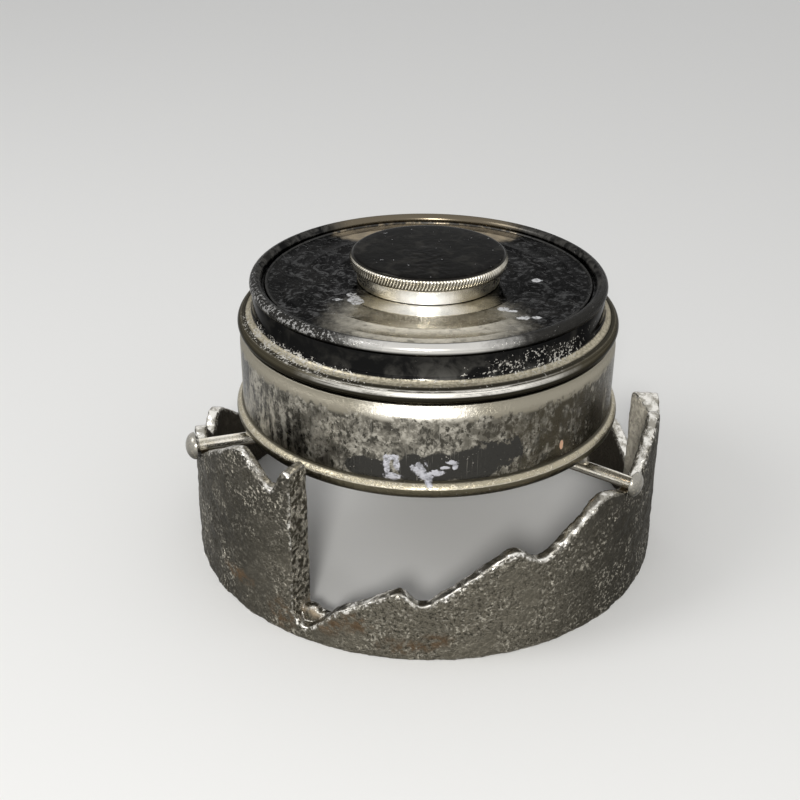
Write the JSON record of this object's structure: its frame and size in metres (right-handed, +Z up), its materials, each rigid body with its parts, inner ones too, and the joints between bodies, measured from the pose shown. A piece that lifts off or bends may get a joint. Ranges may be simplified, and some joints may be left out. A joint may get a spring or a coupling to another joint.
{
  "type": "spirit stove with a cast ramped stand ring",
  "caption": "Small spirit stove: a drum-shaped burner with a screw cap rests by pins in the notches of a cast ring's climbing ramps.",
  "frame": {"origin": "centre of the stand ring's foot, on the surface that it stands on", "axes": "+Z up along the burner's axis, -Y towards the front of the picture, +X to the right"},
  "size_m": [0.095, 0.0962, 0.0612],
  "materials": {
    "cast_ring": "sand-cast, worn bright on the edges, a little rust",
    "nickel_plate": "old nickel plate over brass, scratched and tarnished",
    "pin_steel": "plated steel wire with upset heads",
    "solder": "dull solder",
    "brass_gauze": "woven wire",
    "wadding": "pressed mineral fibre",
    "cork": "pressed cork"
  },
  "bodies": {
    "stand": {"stand_ring": "cast_ring"},
    "fuel_pad": {"fibre_pad": "wadding"},
    "burner": {"pan_wall": "nickel_plate", "pan_bottom": "nickel_plate", "pin_hub": "nickel_plate", "solder_joints": "solder", "support_pin_right": "pin_steel", "support_pin_back": "pin_steel", "support_pin_left": "pin_steel"},
    "lid": {"lid_shell": "nickel_plate", "top_plate": "nickel_plate", "neck_collar": "nickel_plate", "gauze_disc": "brass_gauze", "gauze_ring": "brass_gauze", "wick_plug": "wadding"},
    "cap_seal": {"cap_liner": "cork"},
    "cap": {"cap_shell": "nickel_plate"}
  },
  "joints": [
    {"name": "burner_rise", "type": "slide", "parent": "stand", "child": "fuel_pad", "axis": [0, 0, 1], "range_m": [0, 0.0362]},
    {"name": "burner_turn", "type": "hinge", "parent": "fuel_pad", "child": "burner", "pos_m": [0, 0, 0.02565], "axis": [0, 0, 1], "range_deg": [0, 60]},
    {"name": "lid_lift", "type": "slide", "parent": "burner", "child": "lid", "axis": [0, 0, 1], "range_m": [0, 0.025]},
    {"name": "cap_rise", "type": "slide", "parent": "lid", "child": "cap_seal", "axis": [0, 0, 1], "range_m": [0, 0.0061]},
    {"name": "cap_turn", "type": "hinge", "parent": "cap_seal", "child": "cap", "pos_m": [0, 0, 0.0557], "axis": [0, 0, 1], "range_deg": [0, 1440]}
  ],
  "couplings": [
    {"joint": "burner_rise", "follows": "burner_turn", "m_per_rad": 0.034377},
    {"joint": "cap_rise", "follows": "cap_turn", "m_per_rad": 0.00023873}
  ]
}
